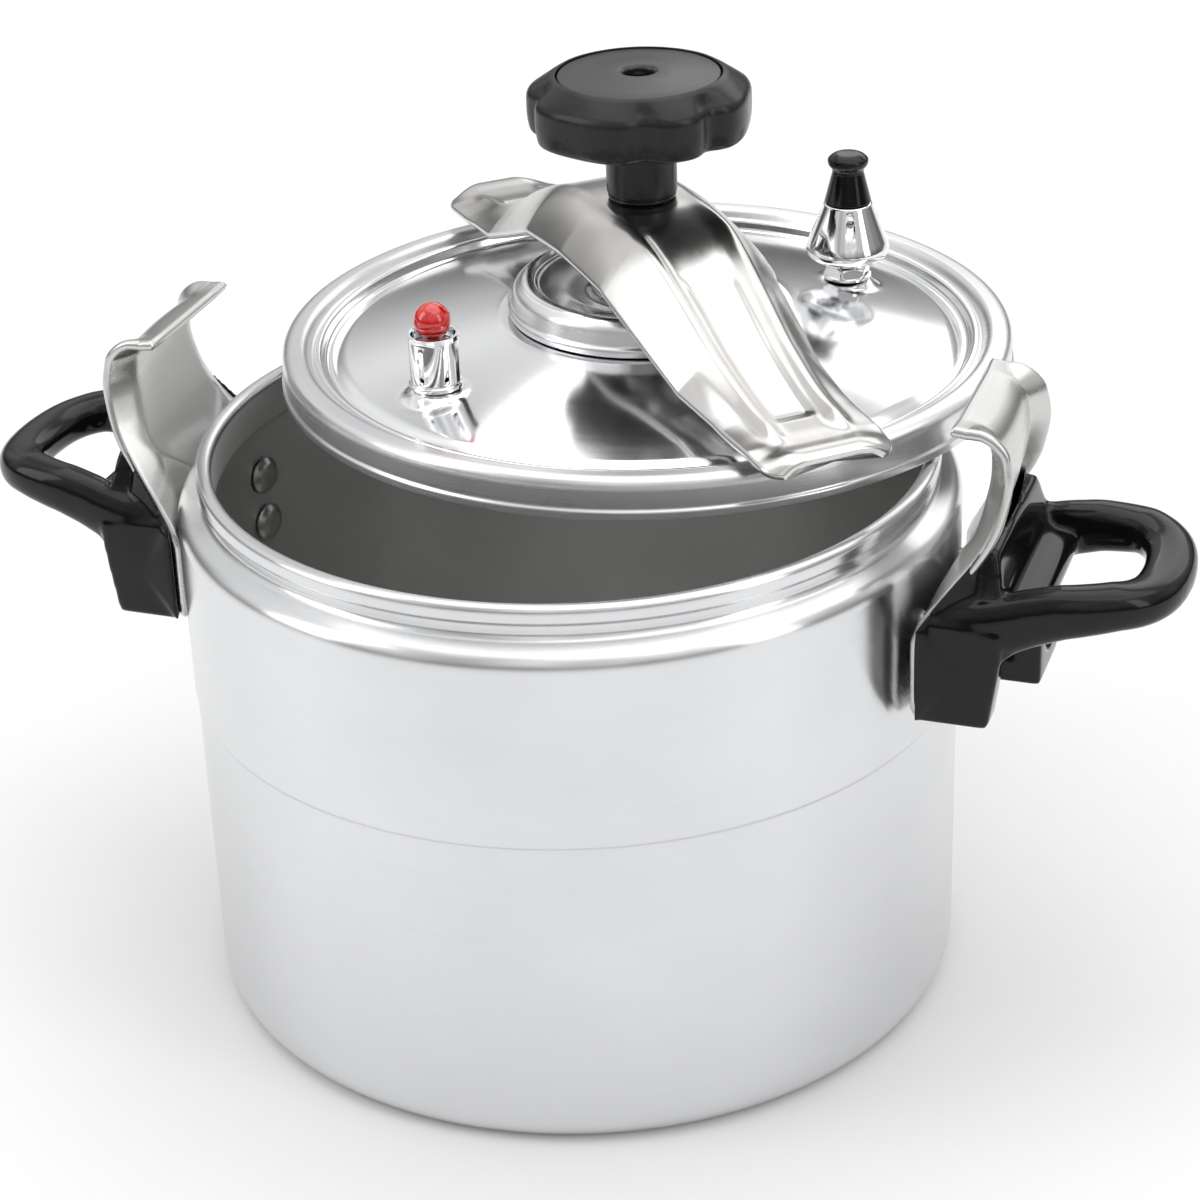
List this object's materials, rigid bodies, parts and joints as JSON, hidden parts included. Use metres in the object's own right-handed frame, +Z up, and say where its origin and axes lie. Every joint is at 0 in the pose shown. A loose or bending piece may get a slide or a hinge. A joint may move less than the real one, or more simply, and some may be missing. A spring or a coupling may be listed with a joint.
{
  "type": "stovetop pressure cooker",
  "caption": "Pressure pot with riveted lugs, side loop handles and a lid clamped by a swivelling bridge and screw knob, with weight and safety valves, shown with the lid set back.",
  "frame": {"origin": "centre of the pot's flat base, on the surface that it stands on", "axes": "+Z up along the pot's axis; +X through the right-hand lug and handle; the lid stands back towards +Y"},
  "size_m": [0.368, 0.2843, 0.2625],
  "materials": {
    "polished_aluminium": "polished, with fine turning lines",
    "pressed_steel": "satin to bright pressed sheet",
    "chrome_trim": "bright plated",
    "zinc_steel": "plain plated fastener",
    "black_resin": "glossy moulded black resin",
    "red_plastic": "glossy red ball",
    "grey_rubber": "matt moulded rubber"
  },
  "bodies": {
    "pot": {"pot_body": "polished_aluminium", "lug_right": "pressed_steel", "lug_rivet_right_1": "zinc_steel", "lug_rivet_right_2": "zinc_steel", "lug_rivet_right_3": "zinc_steel", "lug_rivet_right_4": "zinc_steel", "handle_right": "black_resin", "handle_stud_right": "zinc_steel", "handle_washer_right": "zinc_steel", "handle_nut_right": "zinc_steel", "lug_left": "pressed_steel", "lug_rivet_left_1": "zinc_steel", "lug_rivet_left_2": "zinc_steel", "lug_rivet_left_3": "zinc_steel", "lug_rivet_left_4": "zinc_steel", "handle_left": "black_resin", "handle_stud_left": "zinc_steel", "handle_washer_left": "zinc_steel", "handle_nut_left": "zinc_steel"},
    "lid": {"lid_shell": "polished_aluminium", "lid_gasket": "grey_rubber", "lid_boss": "polished_aluminium", "boss_foot_ring": "zinc_steel", "boss_washer": "zinc_steel", "boss_nut": "zinc_steel", "vent_stem": "chrome_trim", "vent_seal": "grey_rubber", "vent_nut": "zinc_steel", "safety_body": "chrome_trim", "safety_seal": "grey_rubber", "safety_nut": "zinc_steel", "safety_ring": "zinc_steel", "safety_spring": "zinc_steel"},
    "knob": {"knob": "black_resin", "knob_cap": "black_resin", "spindle": "zinc_steel"},
    "bush": {"bridge_bush": "zinc_steel"},
    "bridge": {"bridge": "pressed_steel"},
    "weight": {"weight_body": "chrome_trim", "weight_cap": "black_resin"},
    "safety_indicator": {"safety_pin": "red_plastic"}
  },
  "joints": [
    {"name": "lid_lift", "type": "slide", "parent": "pot", "child": "lid", "axis": [0, 0, 1], "range_m": [0, 0.06]},
    {"name": "knob_turn", "type": "hinge", "parent": "lid", "child": "knob", "pos_m": [0.0055, 0.0575, 0.24], "axis": [0, 0, 1], "range_deg": [0, 540]},
    {"name": "bridge_rise", "type": "slide", "parent": "lid", "child": "bush", "axis": [0, 0, 1], "range_m": [-0.003, 0]},
    {"name": "bridge_swing", "type": "hinge", "parent": "bush", "child": "bridge", "pos_m": [0.0055, 0.0575, 0.22], "axis": [0, 0, 1], "range_deg": [-45, 5]},
    {"name": "weight_lift", "type": "slide", "parent": "lid", "child": "weight", "axis": [0, 0, 1], "range_m": [0, 0.02]},
    {"name": "safety_lift", "type": "slide", "parent": "lid", "child": "safety_indicator", "axis": [0, 0, 1], "range_m": [0, 0.0025], "stiffness_N_per_m": 500, "springref_m": -0.002, "deforming": ["safety_spring"]}
  ],
  "couplings": [
    {"joint": "bridge_rise", "follows": "knob_turn", "m_per_rad": -0.00031831}
  ]
}
